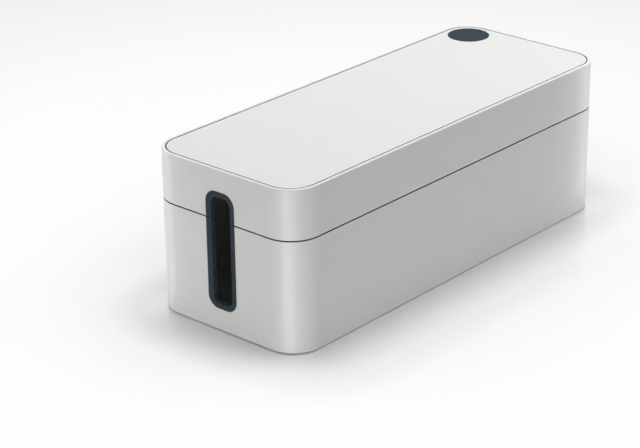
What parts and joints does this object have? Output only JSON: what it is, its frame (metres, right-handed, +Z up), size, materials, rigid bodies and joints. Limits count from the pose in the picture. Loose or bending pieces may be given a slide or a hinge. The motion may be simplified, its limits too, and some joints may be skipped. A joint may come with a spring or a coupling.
{
  "type": "cable management box",
  "caption": "Long rounded box with a lift-off lid that hides a power strip, with a lined cable slot in each end and a capped round cable outlet on top.",
  "frame": {"origin": "on the table under the middle of the box", "axes": "+X along the box, towards the end with the round cap; +Y across it, towards the long side with the cap; +Z up"},
  "size_m": [0.4072, 0.156, 0.139],
  "materials": {
    "shell": "light grey ABS, satin",
    "slot_liner": "dark slate soft rubber, matt",
    "cap": "dark slate soft rubber, matt",
    "foot": "dark grey rubber, matt"
  },
  "bodies": {
    "tray": {"base_tray": "shell", "left_lower_grommet": "slot_liner", "right_lower_grommet": "slot_liner", "foot_front_left": "foot", "foot_front_right": "foot", "foot_rear_left": "foot", "foot_rear_right": "foot"},
    "lid": {"lid_frame": "shell", "top_panel": "shell", "left_upper_grommet": "slot_liner", "right_upper_grommet": "slot_liner"},
    "cap": {"port_cap": "cap"}
  },
  "joints": [
    {"name": "lid_lift", "type": "slide", "parent": "tray", "child": "lid", "axis": [0, 0, 1], "range_m": [0, 0.15]},
    {"name": "cap_pull", "type": "slide", "parent": "lid", "child": "cap", "axis": [0, 0, 1], "range_m": [0, 0.03]}
  ]
}
